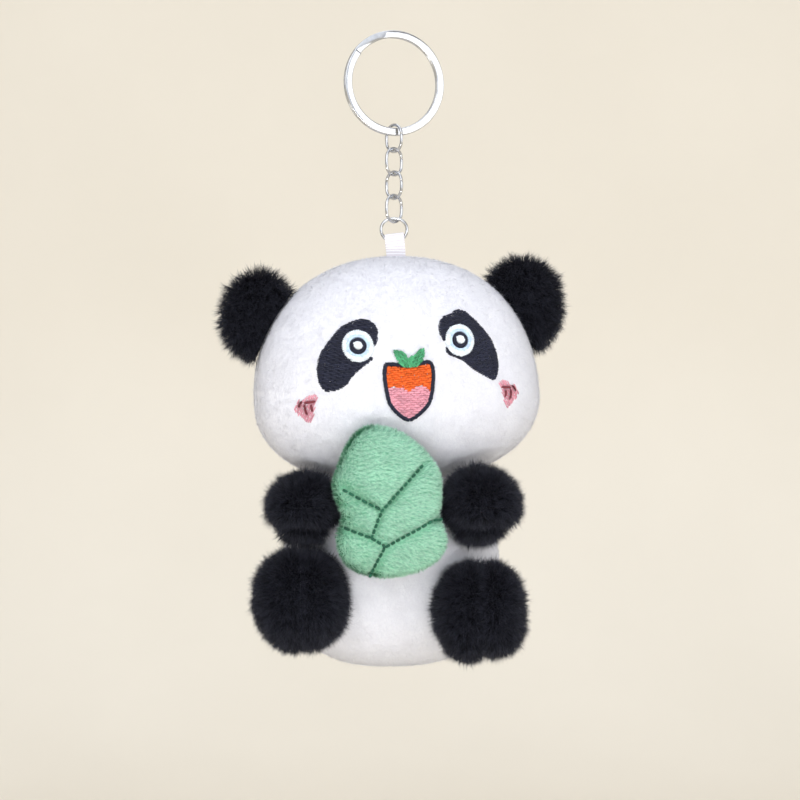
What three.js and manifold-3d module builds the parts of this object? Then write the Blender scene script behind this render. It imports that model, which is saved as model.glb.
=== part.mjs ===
// A small plush panda charm that hangs from a split key ring on four chain links.
// Millimetres, +Z up, the panda's belly faces -Y. The origin is where the split ring rests on its peg:
// the top of the ring's hole. "left" and "right" are as seen from the front.
import * as THREE from 'three';
import { mergeVertices } from 'three/addons/utils/BufferGeometryUtils.js';
import Module from 'manifold-3d';

// ---- Driving dimensions ----

// Split ring: two turns of flat wire, one step apart.
const RING_OUTER_R = 15;
const RING_WIRE_WIDTH = 2.2;
const RING_WIRE_THICKNESS = 0.8;
const RING_TURN_GAP = 0.14;
const RING_EDGE_ROUND = 0.3;
const RING_STEP_AT = THREE.MathUtils.degToRad(118);
const RING_STEP_HALF = 0.42;
const RING_STEPS = 68;
const RING_TURN = THREE.MathUtils.degToRad(20);

// Chain links, jump ring and ribbon tab.
const WIRE_D = 0.9;
const WIRE_SIDES = 6;
const LOOP_STEPS = 20;
const LINK_HALF_HEIGHT = 3.85;
const LINK_HALF_WIDTH = 3;
const LINK_COUNT = 4;
const LINK_GAP = 0.13;
const LINK_TURN = Math.PI / 4;
const LINK_RING_GAP = 0.48;
const JUMP_HALF_HEIGHT = 3.22;
const JUMP_HALF_WIDTH = 3.7;
const TAB_WIDTH = 5.5;
const TAB_THICKNESS = 0.45;
const TAB_SEWN_X = 1.7;
const TAB_SEWN_DEPTH = 4.5;
const TAB_EYE_HALF = 0.85;

// Sewn covers and their filling.
const FABRIC = 1.2;
const GAP = 0.3;
const LIMB_GAP = 0.8;
const NECK_OPENING_R = 9;

// Head: a rounded dome over a flatter jaw, turned and tipped a little on the neck.
const HEAD = { x: 41.6, front: 28.5, back: 29.5, top: 41.6, bottom: 25, power: 2.15 };
const HEAD_TURN = THREE.MathUtils.degToRad(10);
const HEAD_TIP = THREE.MathUtils.degToRad(-3.5);
const HEAD_TOP_Z = -61.4;
const HEAD_SEAM_Y = 0;
const EAR = { x: 13.6, front: 6, back: 6, top: 13.6, bottom: 13.6, power: 2 };
const EAR_AT = { left: -34.6, right: 36.4, y: 2, z: 24.6 };
const EAR_GAP = 1.9;

// Embroidery stands on the face panel.
const THREAD_HEIGHT = 0.6;
const THREAD_GAP = 0.15;
const EYE_AT = { x: 14.2, z: 15.3 };
const EYE_RADII = [4.4, 2.25, 1.1];
const PATCH_AT = { x: 17.1, z: 13.3 };
const PATCH_HALF = { long: 11.4, short: 6.7 };
const PATCH_SLOPE = THREE.MathUtils.degToRad(51);
const MOUTH = { x: -0.8, halfWidth: 7, top: 10.3, bottom: -6.5, border: 0.85, palateDepth: 6.8 };
const NOSE = { x: -0.8, halfWidth: 4, top: 13.5, notch: 11.2, bottom: 8.8 };
const CHEEK_AT = { x: 28.6, z: -0.8 };
const CHEEK_HALF = { x: 3.4, z: 3.9 };

// Body, limbs and the bamboo shoot that the panda hugs.
const BODY = { x: 31.4, front: 26.5, back: 24.5, top: 22.2, bottom: 28.2, power: 2.5 };
const BODY_Z = -151.2;
const ARM = { x: 10.6, front: 11.6, back: 11, top: 10.6, bottom: 10, power: 2.2 };
const ARM_AT = { x: 24.6, y: -26.5, z: -132.6 };
const LEG = { x: 12.9, front: 12.6, back: 11.6, top: 14.4, bottom: 14.8, power: 2.15 };
const LEG_AT = { x: 24.6, y: -29.8, z: -159.6 };
const LEG_DROP = { left: -1.5, right: 1.5 };
const SHOOT = { x: 15.6, front: 7.4, back: 7, top: 21.6, bottom: 21.2, power: 2.15 };
const SHOOT_AT = { x: -0.4, y: -38.6, z: -131.4 };
const SHOOT_WAIST = { z: -12.2, depth: 0.2, spread: 5 };

// The torso stands this far back and aside, so that the plush hangs plumb under the ring.
const TORSO_AT = { x: -0.8, y: 4.4 };

const COLOUR = {
  steel: { color: 0xd9dadd, metalness: 1, roughness: 0.16 },
  ribbon: { color: 0xf4f3f6, metalness: 0, roughness: 0.7 },
  white: { color: 0xf3f2f6, metalness: 0, roughness: 0.95 },
  black: { color: 0x14151b, metalness: 0, roughness: 0.95 },
  green: { color: 0x8fd1a5, metalness: 0, roughness: 0.95 },
  filling: { color: 0xf7f6f2, metalness: 0, roughness: 1 },
  navyThread: { color: 0x20243a, metalness: 0, roughness: 0.5 },
  whiteThread: { color: 0xf0f3fa, metalness: 0, roughness: 0.5 },
  blueThread: { color: 0xcfe4f7, metalness: 0, roughness: 0.5 },
  orangeThread: { color: 0xe0590f, metalness: 0, roughness: 0.5 },
  pinkThread: { color: 0xdb8292, metalness: 0, roughness: 0.5 },
  greenThread: { color: 0x3b9a62, metalness: 0, roughness: 0.5 },
};

// ---- Joining and cutting ----

const wasm = await Module();
wasm.setup();

function solid(geometry) {
  const plain = geometry.index ? geometry.toNonIndexed() : geometry.clone();
  plain.deleteAttribute('normal');
  plain.deleteAttribute('uv');
  const merged = mergeVertices(plain, 1e-4);
  return new wasm.Manifold(new wasm.Mesh({
    numProp: 3,
    vertProperties: merged.attributes.position.array,
    triVerts: new Uint32Array(merged.index.array),
  }));
}

function geometryOf(made) {
  const mesh = made.getMesh();
  const geometry = new THREE.BufferGeometry();
  geometry.setAttribute('position', new THREE.BufferAttribute(mesh.vertProperties, 3));
  geometry.setIndex(new THREE.BufferAttribute(mesh.triVerts, 1));
  geometry.computeVertexNormals();
  return geometry;
}

const materials = Object.fromEntries(
  Object.entries(COLOUR).map(([name, look]) => [name, new THREE.MeshStandardMaterial(look)]),
);

function addMesh(group, name, geometry, material) {
  const mesh = new THREE.Mesh(geometry, materials[material]);
  mesh.name = name;
  group.add(mesh);
  return mesh;
}

// ---- Rounded stuffed shapes ----

// A stuffed shape with its own reach each way, grown by `grow` on every side. `shape` may bend each point.
function blob(size, at, grow, segments, shape = (point) => point) {
  const geometry = new THREE.SphereGeometry(1, segments, Math.round(segments * 0.6));
  geometry.rotateX(Math.PI / 2);
  const position = geometry.attributes.position;
  const point = new THREE.Vector3();
  for (let i = 0; i < position.count; i += 1) {
    point.fromBufferAttribute(position, i).normalize();
    const reach = [
      size.x + grow,
      (point.y < 0 ? size.front : size.back) + grow,
      (point.z < 0 ? size.bottom : size.top) + grow,
    ];
    const spread = point.toArray().reduce(
      (sum, along, k) => sum + (Math.abs(along) / reach[k]) ** size.power,
      0,
    );
    point.multiplyScalar(spread ** (-1 / size.power));
    shape(point).add(at);
    position.setXYZ(i, point.x, point.y, point.z);
  }
  return solid(geometry);
}

function box(low, high) {
  const size = new THREE.Vector3().subVectors(high, low);
  const geometry = new THREE.BoxGeometry(size.x, size.y, size.z);
  geometry.translate((low.x + high.x) / 2, (low.y + high.y) / 2, (low.z + high.z) / 2);
  return solid(geometry);
}

// The half of space on the negative or positive side of a plane across one axis, as a big box.
const FAR = 400;
function halfSpace(axis, at, side) {
  const low = new THREE.Vector3(-FAR, -FAR, -FAR);
  const high = new THREE.Vector3(FAR, FAR, FAR);
  if (side < 0) high[axis] = at;
  else low[axis] = at;
  return box(low, high);
}

// Splits a cover along its seam and adds both panels and the filling.
function addStuffed(group, cover, filling, seam, names, material) {
  const [first, second, inside] = names;
  const near = cover.intersect(halfSpace(seam.axis, seam.at - GAP / 2, -1));
  const far = cover.intersect(halfSpace(seam.axis, seam.at + GAP / 2, 1));
  addMesh(group, first, geometryOf(near), material);
  addMesh(group, second, geometryOf(far), material);
  if (inside) addMesh(group, inside, geometryOf(filling), 'filling');
}

// ---- Key ring, chain and ribbon ----

// A loop of round wire in the XZ plane, centred on the origin: round ends joined by straight sides.
function ovalLoop(halfWidth, halfHeight) {
  const bend = Math.min(halfWidth, halfHeight);
  const geometry = new THREE.TorusGeometry(bend, WIRE_D / 2, WIRE_SIDES, LOOP_STEPS);
  geometry.rotateZ(Math.PI / LOOP_STEPS);
  geometry.rotateX(Math.PI / 2);
  const position = geometry.attributes.position;
  for (let i = 0; i < position.count; i += 1) {
    const x = position.getX(i);
    const z = position.getZ(i);
    position.setX(i, x + Math.sign(x) * (halfWidth - bend));
    position.setZ(i, z + Math.sign(z) * (halfHeight - bend));
  }
  return geometry;
}

// The middle line of two turns of flat wire: the first turn lies in front of the second.
class SplitRingCurve extends THREE.Curve {
  getPoint(t, target = new THREE.Vector3()) {
    const turned = THREE.MathUtils.lerp(RING_STEP_HALF, 4 * Math.PI - RING_STEP_HALF, t);
    const share = THREE.MathUtils.smoothstep(
      turned,
      2 * Math.PI - RING_STEP_HALF,
      2 * Math.PI + RING_STEP_HALF,
    );
    const angle = turned + RING_STEP_AT;
    const midR = RING_OUTER_R - RING_WIRE_WIDTH / 2;
    const layer = (RING_WIRE_THICKNESS + RING_TURN_GAP) / 2;
    const y = THREE.MathUtils.lerp(-layer, layer, share);
    return target.set(midR * Math.cos(angle), y, midR * Math.sin(angle));
  }
}

function splitRing() {
  const halfThick = RING_WIRE_THICKNESS / 2;
  const halfWide = RING_WIRE_WIDTH / 2;
  const cut = RING_EDGE_ROUND;
  const section = new THREE.Shape([
    new THREE.Vector2(halfThick, -halfWide + cut),
    new THREE.Vector2(halfThick, halfWide - cut),
    new THREE.Vector2(halfThick - cut, halfWide),
    new THREE.Vector2(-halfThick + cut, halfWide),
    new THREE.Vector2(-halfThick, halfWide - cut),
    new THREE.Vector2(-halfThick, -halfWide + cut),
    new THREE.Vector2(-halfThick + cut, -halfWide),
    new THREE.Vector2(halfThick - cut, -halfWide),
  ]);
  return new THREE.ExtrudeGeometry(section, { steps: RING_STEPS, extrudePath: new SplitRingCurve() });
}

const ringCentreZ = RING_WIRE_WIDTH - RING_OUTER_R;
const ringWireZ = ringCentreZ - RING_OUTER_R + RING_WIRE_WIDTH / 2;
const firstLinkZ = ringWireZ + RING_WIRE_WIDTH / 2 + LINK_RING_GAP + WIRE_D / 2 - LINK_HALF_HEIGHT;
const linkPitch = 2 * LINK_HALF_HEIGHT - WIRE_D - LINK_GAP;
const lastLinkZ = firstLinkZ - linkPitch * (LINK_COUNT - 1);
const jumpZ = lastLinkZ - LINK_HALF_HEIGHT + WIRE_D + LINK_GAP - JUMP_HALF_HEIGHT;
const jumpWireZ = jumpZ - JUMP_HALF_HEIGHT;

function addHardware(group) {
  const ring = addMesh(group, 'split_ring', splitRing(), 'steel');
  ring.position.z = ringCentreZ;
  ring.rotation.z = RING_TURN;
  for (let i = 0; i < LINK_COUNT; i += 1) {
    const link = addMesh(
      group,
      `chain_link_${i + 1}`,
      ovalLoop(LINK_HALF_WIDTH, LINK_HALF_HEIGHT),
      'steel',
    );
    link.position.z = firstLinkZ - linkPitch * i;
    link.rotation.z = i % 2 ? LINK_TURN : -LINK_TURN;
  }
  const jump = addMesh(group, 'jump_ring', ovalLoop(JUMP_HALF_WIDTH, JUMP_HALF_HEIGHT), 'steel');
  jump.position.z = jumpZ;
}

// How far the jump ring's wire has risen where it leaves the ribbon at either edge.
const jumpBendAt = TAB_WIDTH / 2 - (JUMP_HALF_WIDTH - JUMP_HALF_HEIGHT);
const tabRise = JUMP_HALF_HEIGHT - Math.sqrt(JUMP_HALF_HEIGHT ** 2 - jumpBendAt ** 2);

// The ribbon goes over the jump ring's wire and both ends run down into the head's top seam. The outline is
// the ribbon seen from its edge: across it is Y, up it is Z, from the level of the wire.
function addRibbonTab(group) {
  const outerHalf = TAB_EYE_HALF + TAB_THICKNESS;
  const sewnHalf = TAB_THICKNESS + 0.05;
  const bottom = HEAD_TOP_Z - TAB_SEWN_DEPTH - jumpWireZ;
  const fold = (radius) => Array.from({ length: 9 }, (_, i) => {
    const angle = (Math.PI * i) / 8;
    return new THREE.Vector2(radius * Math.cos(angle), tabRise + radius * Math.sin(angle));
  });
  const side = (half, low) => new THREE.Vector2(half, low);
  const outline = new THREE.Shape([
    side(sewnHalf, bottom), side(sewnHalf, -2.9), side(outerHalf, -1.1),
    ...fold(outerHalf),
    side(-outerHalf, -1.1), side(-sewnHalf, -2.9), side(-sewnHalf, bottom),
  ]);
  const eye = [...fold(TAB_EYE_HALF), side(-TAB_EYE_HALF, -0.9), side(0, -2.3), side(TAB_EYE_HALF, -0.9)];
  outline.holes.push(new THREE.Path(eye));
  const geometry = new THREE.ExtrudeGeometry(outline, { depth: TAB_WIDTH, bevelEnabled: false });
  geometry.translate(0, 0, -TAB_WIDTH / 2);
  geometry.applyMatrix4(new THREE.Matrix4().makeBasis(
    new THREE.Vector3(0, 1, 0),
    new THREE.Vector3(0, 0, 1),
    new THREE.Vector3(1, 0, 0),
  ));
  addMesh(group, 'ribbon_tab', geometry, 'ribbon').position.z = jumpWireZ;
}

// ---- Head, ears and face ----

const ORIGIN = new THREE.Vector3();
const HEAD_SEGMENTS = 22;

// The head in its own frame, before it is turned: the widest level is z = 0.
function head(grow) {
  return blob(HEAD, ORIGIN, grow, HEAD_SEGMENTS);
}

function neckHole(low, high, at) {
  const geometry = new THREE.CylinderGeometry(NECK_OPENING_R, NECK_OPENING_R, high - low, 20);
  geometry.rotateX(Math.PI / 2);
  geometry.translate(at.x, at.y, (low + high) / 2);
  return solid(geometry);
}

// The slot in the head's top seam that the ribbon is sewn into.
function ribbonSlot() {
  const halfX = TAB_WIDTH / 2 + 0.9;
  const halfY = TAB_THICKNESS + 0.9;
  const low = new THREE.Vector3(TAB_SEWN_X - halfX, HEAD_SEAM_Y - halfY, HEAD.top - TAB_SEWN_DEPTH - 0.8);
  const high = new THREE.Vector3(TAB_SEWN_X + halfX, HEAD_SEAM_Y + halfY, HEAD.top + 5);
  return box(low, high);
}

function addHead(group) {
  const hole = neckHole(-HEAD.bottom - 5, -HEAD.bottom + 6, { x: 0, y: 0 });
  const cover = head(0).subtract(head(-FABRIC)).subtract(hole).subtract(ribbonSlot());
  const filling = head(-FABRIC - GAP).subtract(ribbonSlot());
  const seam = { axis: 'y', at: HEAD_SEAM_Y };
  addStuffed(group, cover, filling, seam, ['face_panel', 'head_back_panel', 'head_stuffing'], 'white');
}

function addEar(group, side) {
  const at = new THREE.Vector3(EAR_AT[side], EAR_AT.y, EAR_AT.z);
  const ear = blob(EAR, at, 0, 18).subtract(head(EAR_GAP));
  const names = [`ear_${side}_front_panel`, `ear_${side}_back_panel`];
  addStuffed(group, ear, null, { axis: 'y', at: EAR_AT.y }, names, 'black');
}

// An outline drawn on the face in X and Z, as a bar that runs from the seam out through the face.
function faceBar(shape) {
  const geometry = new THREE.ExtrudeGeometry(shape, { depth: 50, bevelEnabled: false, curveSegments: 6 });
  geometry.applyMatrix4(new THREE.Matrix4().makeBasis(
    new THREE.Vector3(1, 0, 0),
    new THREE.Vector3(0, 0, 1),
    new THREE.Vector3(0, -1, 0),
  ));
  return solid(geometry);
}

function ellipse(at, halfX, halfZ, turn = 0) {
  const shape = new THREE.Shape();
  shape.absellipse(at.x, at.z, halfX, halfZ, 0, 2 * Math.PI, false, turn);
  return shape;
}

// An open smiling mouth: nearly straight across the top, round below.
function mouthShape(inset) {
  const middle = MOUTH.x;
  const half = MOUTH.halfWidth - inset;
  const top = MOUTH.top - inset;
  const bottom = MOUTH.bottom + inset;
  const shape = new THREE.Shape();
  shape.moveTo(middle - half, top);
  shape.quadraticCurveTo(middle, top - 0.9, middle + half, top);
  shape.bezierCurveTo(middle + half, top - 8, middle + half * 0.75, bottom, middle, bottom);
  shape.bezierCurveTo(middle - half * 0.75, bottom, middle - half, top - 8, middle - half, top);
  return shape;
}

// The tongue's top edge: two lobes, drawn as a region that covers everything below them.
function tongueShape(lift) {
  const middle = MOUTH.x;
  const level = MOUTH.top - MOUTH.palateDepth + lift;
  const half = MOUTH.halfWidth + 2;
  const shape = new THREE.Shape();
  shape.moveTo(middle - half, MOUTH.bottom - 5);
  shape.lineTo(middle + half, MOUTH.bottom - 5);
  shape.lineTo(middle + half, level - 1.6);
  shape.quadraticCurveTo(middle + half * 0.45, level + 1.6, middle, level - 1.2);
  shape.quadraticCurveTo(middle - half * 0.45, level + 1.6, middle - half, level - 1.6);
  shape.closePath();
  return shape;
}

// A sprig of two small leaves that stands for the nose. It lies over the middle of the mouth's upper edge.
function noseShape(grow) {
  const middle = NOSE.x;
  const half = NOSE.halfWidth + grow;
  const top = NOSE.top + grow;
  const notch = NOSE.notch + grow;
  const bottom = NOSE.bottom - grow;
  const shape = new THREE.Shape();
  shape.moveTo(middle, bottom);
  shape.quadraticCurveTo(middle + half * 0.9, bottom, middle + half, top);
  shape.quadraticCurveTo(middle + half * 0.4, top - 0.2, middle, notch);
  shape.quadraticCurveTo(middle - half * 0.4, top - 0.2, middle - half, top);
  shape.quadraticCurveTo(middle - half * 0.9, bottom, middle, bottom);
  return shape;
}

function addFace(group) {
  const layer = head(GAP + THREAD_HEIGHT).subtract(head(GAP));
  const put = (name, bar, material) => addMesh(group, name, geometryOf(layer.intersect(bar)), material);
  for (const [side, sign] of [['left', -1], ['right', 1]]) {
    const eye = { x: sign * EYE_AT.x, z: EYE_AT.z };
    const disc = (radius) => faceBar(ellipse(eye, radius, radius));
    const patchAt = { x: sign * PATCH_AT.x, z: PATCH_AT.z };
    const cheekAt = { x: sign * CHEEK_AT.x, z: CHEEK_AT.z };
    const patch = faceBar(ellipse(patchAt, PATCH_HALF.long, PATCH_HALF.short, -sign * PATCH_SLOPE));
    const [outer, dark, centre] = EYE_RADII;
    put(`eye_patch_${side}`, patch.subtract(disc(outer + THREAD_GAP)), 'navyThread');
    put(`eye_ring_${side}`, disc(outer).subtract(disc(dark + THREAD_GAP)), 'blueThread');
    put(`pupil_${side}`, disc(dark).subtract(disc(centre + THREAD_GAP)), 'navyThread');
    put(`eye_highlight_${side}`, disc(centre), 'whiteThread');
    const cheek = faceBar(ellipse(cheekAt, CHEEK_HALF.x, CHEEK_HALF.z));
    put(`cheek_${side}`, cheek, 'pinkThread');
  }
  const noseRoom = faceBar(noseShape(THREAD_GAP));
  const inside = faceBar(mouthShape(MOUTH.border + THREAD_GAP)).subtract(noseRoom);
  const outline = faceBar(mouthShape(0)).subtract(faceBar(mouthShape(MOUTH.border)));
  const border = outline.subtract(noseRoom);
  put('mouth_outline', border, 'navyThread');
  put('mouth_palate', inside.subtract(faceBar(tongueShape(THREAD_GAP))), 'orangeThread');
  put('tongue', inside.intersect(faceBar(tongueShape(0))), 'pinkThread');
  put('nose_leaf', faceBar(noseShape(0)), 'greenThread');
}

// ---- Body, bamboo shoot and limbs ----

const bodyAt = new THREE.Vector3(0, 0, BODY_Z);
function body(grow) {
  return blob(BODY, bodyAt, grow, 20);
}

// The paws press a waist into the lower half of the shoot.
function pinch(point) {
  const away = (point.z - SHOOT_WAIST.z) / SHOOT_WAIST.spread;
  point.x *= 1 - SHOOT_WAIST.depth * Math.exp(-away * away);
  return point;
}

const shootAt = new THREE.Vector3(SHOOT_AT.x, SHOOT_AT.y, SHOOT_AT.z);
function shoot(grow) {
  return blob(SHOOT, shootAt, grow, 18, pinch);
}

function arm(sign, grow) {
  return blob(ARM, new THREE.Vector3(sign * ARM_AT.x, ARM_AT.y, ARM_AT.z), grow, 16)
    .subtract(body(LIMB_GAP - grow))
    .subtract(shoot(LIMB_GAP - grow));
}

function leg(side, sign, grow) {
  const at = new THREE.Vector3(sign * LEG_AT.x, LEG_AT.y, LEG_AT.z - LEG_DROP[side]);
  return blob(LEG, at, grow, 16).subtract(body(LIMB_GAP - grow));
}

function addTorso(group) {
  const top = BODY_Z + BODY.top;
  const cover = body(0).subtract(body(-FABRIC)).subtract(neckHole(top - 6, top + 5, bodyAt));
  const filling = body(-FABRIC - GAP);
  const seam = { axis: 'y', at: 0 };
  addStuffed(group, cover, filling, seam, ['belly_panel', 'body_back_panel', 'body_stuffing'], 'white');
  const shootCover = shoot(0).subtract(shoot(-FABRIC));
  const shootFilling = shoot(-FABRIC - GAP);
  const shootNames = ['shoot_front_panel', 'shoot_back_panel', 'shoot_stuffing'];
  addStuffed(group, shootCover, shootFilling, { axis: 'y', at: SHOOT_AT.y }, shootNames, 'green');
}

function addLimbs(group) {
  for (const [side, sign] of [['left', -1], ['right', 1]]) {
    const armCover = arm(sign, 0).subtract(arm(sign, -FABRIC));
    const armNames = [`arm_${side}_lower_panel`, `arm_${side}_upper_panel`, `arm_${side}_stuffing`];
    addStuffed(group, armCover, arm(sign, -FABRIC - GAP), { axis: 'z', at: ARM_AT.z }, armNames, 'black');
    const legCover = leg(side, sign, 0).subtract(leg(side, sign, -FABRIC));
    const legNames = [`leg_${side}_left_panel`, `leg_${side}_right_panel`, `leg_${side}_stuffing`];
    const seam = { axis: 'x', at: sign * LEG_AT.x };
    addStuffed(group, legCover, leg(side, sign, -FABRIC - GAP), seam, legNames, 'black');
  }
}

// ---- Assembly ----

const charm = new THREE.Group();
addHardware(charm);
addRibbonTab(charm);

const headGroup = new THREE.Group();
headGroup.rotation.set(0, HEAD_TIP, HEAD_TURN, 'ZYX');
const tabRoot = new THREE.Vector3(TAB_SEWN_X, HEAD_SEAM_Y, HEAD.top).applyEuler(headGroup.rotation);
headGroup.position.set(0, 0, HEAD_TOP_Z).sub(tabRoot);
charm.add(headGroup);
addHead(headGroup);
addEar(headGroup, 'left');
addEar(headGroup, 'right');
addFace(headGroup);

const torsoGroup = new THREE.Group();
torsoGroup.position.set(TORSO_AT.x, TORSO_AT.y, 0);
charm.add(torsoGroup);
addTorso(torsoGroup);
addLimbs(torsoGroup);

export default charm;
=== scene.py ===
import functools
import math

import bpy
import numpy as np
from mathutils import Euler, Matrix, Vector
from mathutils.kdtree import KDTree


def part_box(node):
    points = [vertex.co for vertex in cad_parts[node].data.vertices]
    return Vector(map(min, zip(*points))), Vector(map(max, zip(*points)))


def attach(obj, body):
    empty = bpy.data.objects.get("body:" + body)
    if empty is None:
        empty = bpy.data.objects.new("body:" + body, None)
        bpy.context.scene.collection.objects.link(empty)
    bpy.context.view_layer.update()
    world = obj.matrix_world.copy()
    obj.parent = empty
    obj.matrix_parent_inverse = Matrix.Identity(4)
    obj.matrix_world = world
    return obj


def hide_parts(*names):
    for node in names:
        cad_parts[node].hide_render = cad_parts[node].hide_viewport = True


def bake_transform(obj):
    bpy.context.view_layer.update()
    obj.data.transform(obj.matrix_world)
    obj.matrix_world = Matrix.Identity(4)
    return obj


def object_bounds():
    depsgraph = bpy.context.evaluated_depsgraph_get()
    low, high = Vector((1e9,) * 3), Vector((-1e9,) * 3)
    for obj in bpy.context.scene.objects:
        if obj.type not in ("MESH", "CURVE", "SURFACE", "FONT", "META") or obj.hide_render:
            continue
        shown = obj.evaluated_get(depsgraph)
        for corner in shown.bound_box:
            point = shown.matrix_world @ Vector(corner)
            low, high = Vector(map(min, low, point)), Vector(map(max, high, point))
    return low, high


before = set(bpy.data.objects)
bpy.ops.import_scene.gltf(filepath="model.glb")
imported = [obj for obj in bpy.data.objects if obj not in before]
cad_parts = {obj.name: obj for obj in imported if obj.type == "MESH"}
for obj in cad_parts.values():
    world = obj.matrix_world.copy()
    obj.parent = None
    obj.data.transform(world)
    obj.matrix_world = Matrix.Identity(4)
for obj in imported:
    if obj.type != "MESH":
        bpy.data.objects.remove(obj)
cad_low, cad_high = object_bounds()

MM = 0.001

# The head is turned and tipped a little on the neck, as its CAD nodes are.
HEAD_TURN = np.array(Euler((0, math.radians(-3.5), math.radians(10)), "XYZ").to_matrix())
UPRIGHT = np.eye(3)


# ---- Numbers and meshes ----

def unit(vectors):
    return vectors / np.maximum(np.linalg.norm(vectors, axis=-1, keepdims=True), 1e-12)


def dots(a, b):
    return (a * b).sum(-1, keepdims=True)


def smooth(value):
    """From 0 to 1 with level ends."""
    value = np.clip(value, 0, 1)
    return value * value * (3 - 2 * value)


def bump(distance, width):
    """1 at no distance, fading to 0 over a width or two."""
    return np.exp(-(distance / width) ** 2)


def add_piece(name, points, faces, look, values=None, normals=None):
    """A mesh object of triangles or quads. look is (full material, plain one).

    values are named numbers for each point.
    """
    mesh = bpy.data.meshes.new(name)
    mesh.vertices.add(len(points))
    mesh.vertices.foreach_set("co", np.asarray(points, np.float32).ravel())
    mesh.loops.add(faces.size)
    mesh.loops.foreach_set("vertex_index", np.asarray(faces, np.int32).ravel())
    mesh.polygons.add(len(faces))
    mesh.polygons.foreach_set("loop_start", np.arange(0, faces.size, faces.shape[1], dtype=np.int32))
    mesh.polygons.foreach_set("use_smooth", np.ones(len(faces), bool))
    mesh.update(calc_edges=True)
    mesh.validate()
    for label, numbers in (values or {}).items():
        attribute = mesh.attributes.new(label, "FLOAT", "POINT")
        attribute.data.foreach_set("value", np.asarray(numbers, np.float32))
    if normals is not None:
        mesh.normals_split_custom_set_from_vertices(normals)
    piece = bpy.data.objects.new(name, mesh)
    bpy.context.scene.collection.objects.link(piece)
    full, bare = look
    mesh.materials.append(bare)
    piece.material_slots[0].link = "OBJECT"
    piece.material_slots[0].material = full
    return piece


@functools.lru_cache
def cube_sphere(count):
    """Directions all round and the quads between them, with count quads along each edge of a cube."""
    ticks = np.tan(np.linspace(-math.pi / 4, math.pi / 4, count + 1))
    ticks[count // 2] = 0
    across, up = np.meshgrid(ticks, ticks, indexing="ij")
    numbers = np.arange((count + 1) ** 2).reshape(count + 1, count + 1)
    square = np.stack([numbers[:-1, :-1], numbers[1:, :-1], numbers[1:, 1:], numbers[:-1, 1:]], -1)
    square = square.reshape(-1, 4)
    points, quads = [], []
    for axis in range(3):
        for side in (-1, 1):
            sheet = np.empty((count + 1, count + 1, 3))
            sheet[..., axis] = side
            sheet[..., (axis + 1) % 3] = across
            sheet[..., (axis + 2) % 3] = up
            quads.append((square if side > 0 else square[:, ::-1]) + len(points) * (count + 1) ** 2)
            points.append(sheet.reshape(-1, 3))
    points = np.round(np.vstack(points), 9) + 0.0
    points, joined = np.unique(points, axis=0, return_inverse=True)
    return unit(points), joined.reshape(-1)[np.vstack(quads)]


@functools.lru_cache
def half_sphere(count, axis, side):
    """The half of cube_sphere on one side of the plane across an axis."""
    directions, quads = cube_sphere(count)
    quads = quads[directions[quads].mean(1)[:, axis] * side > 0]
    used, quads = np.unique(quads, return_inverse=True)
    return directions[used], quads.reshape(-1, 4)


def border(quads):
    """The directed edges that only one quad has."""
    edges = np.vstack([quads[:, [k, (k + 1) % 4]] for k in range(4)])
    size = quads.max() + 1
    forward = edges[:, 0] * size + edges[:, 1]
    backward = edges[:, 1] * size + edges[:, 0]
    return edges[~np.isin(forward, backward)]


def shell_faces(quads, size):
    """Faces of a closed shell: an outer sheet, an inner one whose points come size later, and the rim."""
    edges = border(quads)
    rim = np.column_stack([edges[:, 1], edges[:, 0], edges[:, 0] + size, edges[:, 1] + size])
    return np.vstack([quads, quads[:, ::-1] + size, rim])


def point_normals(points, faces):
    a, b, c, d = (points[faces[:, k]] for k in (0, 1, 2, -1))
    facing = np.cross(c - a, d - b)
    total = np.zeros_like(points)
    for k in range(faces.shape[1]):
        np.add.at(total, faces[:, k], facing)
    return unit(total)


def waves(points, pitch, seed):
    """Smooth unevenness from about -1 to 1, whose lumps are about a pitch across."""
    rng = np.random.default_rng(seed)
    total = np.zeros(len(points))
    for _ in range(7):
        direction = unit(rng.normal(size=3)) * rng.uniform(0.6, 1.5) * math.pi / pitch
        total += np.sin(points @ direction + rng.uniform(0, 2 * math.pi))
    return total / 2.6


# ---- Stuffed shapes ----

class Ball:
    """A rounded ball with its own reach each way along its own axes, measured from CAD nodes.

    A higher power makes it squarer. seam is the axis across which its two panels meet, dome is the share
    of its height above its widest level, and outline gives its edge in X and Z at each angle.
    """

    def __init__(self, nodes, power, turn=UPRIGHT, seam=None, dome=None, outline=None):
        corners = np.vstack([node_points(n) for n in nodes]) @ turn
        low, high = corners.min(0), corners.max(0)
        middle = (low + high) / 2
        if seam is not None:
            middle[seam] = seam_place(nodes, turn, seam)
        if dome is not None:
            middle[2] = high[2] - dome * (high[2] - low[2])
        self.low, self.high = middle - low, high - middle
        self.centre = turn @ middle
        self.turn, self.power, self.outline = turn, power, outline

    def local(self, points):
        return (points - self.centre) @ self.turn

    def world(self, points):
        return points @ self.turn.T + self.centre

    def level(self, points, grow=0.0):
        """Under 1 inside the ball grown by so much, and over 1 outside."""
        p = self.local(points)
        reach = np.where(p < 0, self.low, self.high) + grow
        if self.outline is None:
            return ((np.abs(p) / reach) ** self.power).sum(1)
        flat = np.hypot(p[:, 0], p[:, 2])
        edge = self.outline(np.arctan2(p[:, 2], p[:, 0])) + grow
        return (flat / edge) ** self.power + (np.abs(p[:, 1]) / reach[:, 1]) ** self.power


def node_points(name):
    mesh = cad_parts[name].data
    points = np.empty(len(mesh.vertices) * 3, np.float32)
    mesh.vertices.foreach_get("co", points)
    return points.reshape(-1, 3).astype(float)


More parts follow.
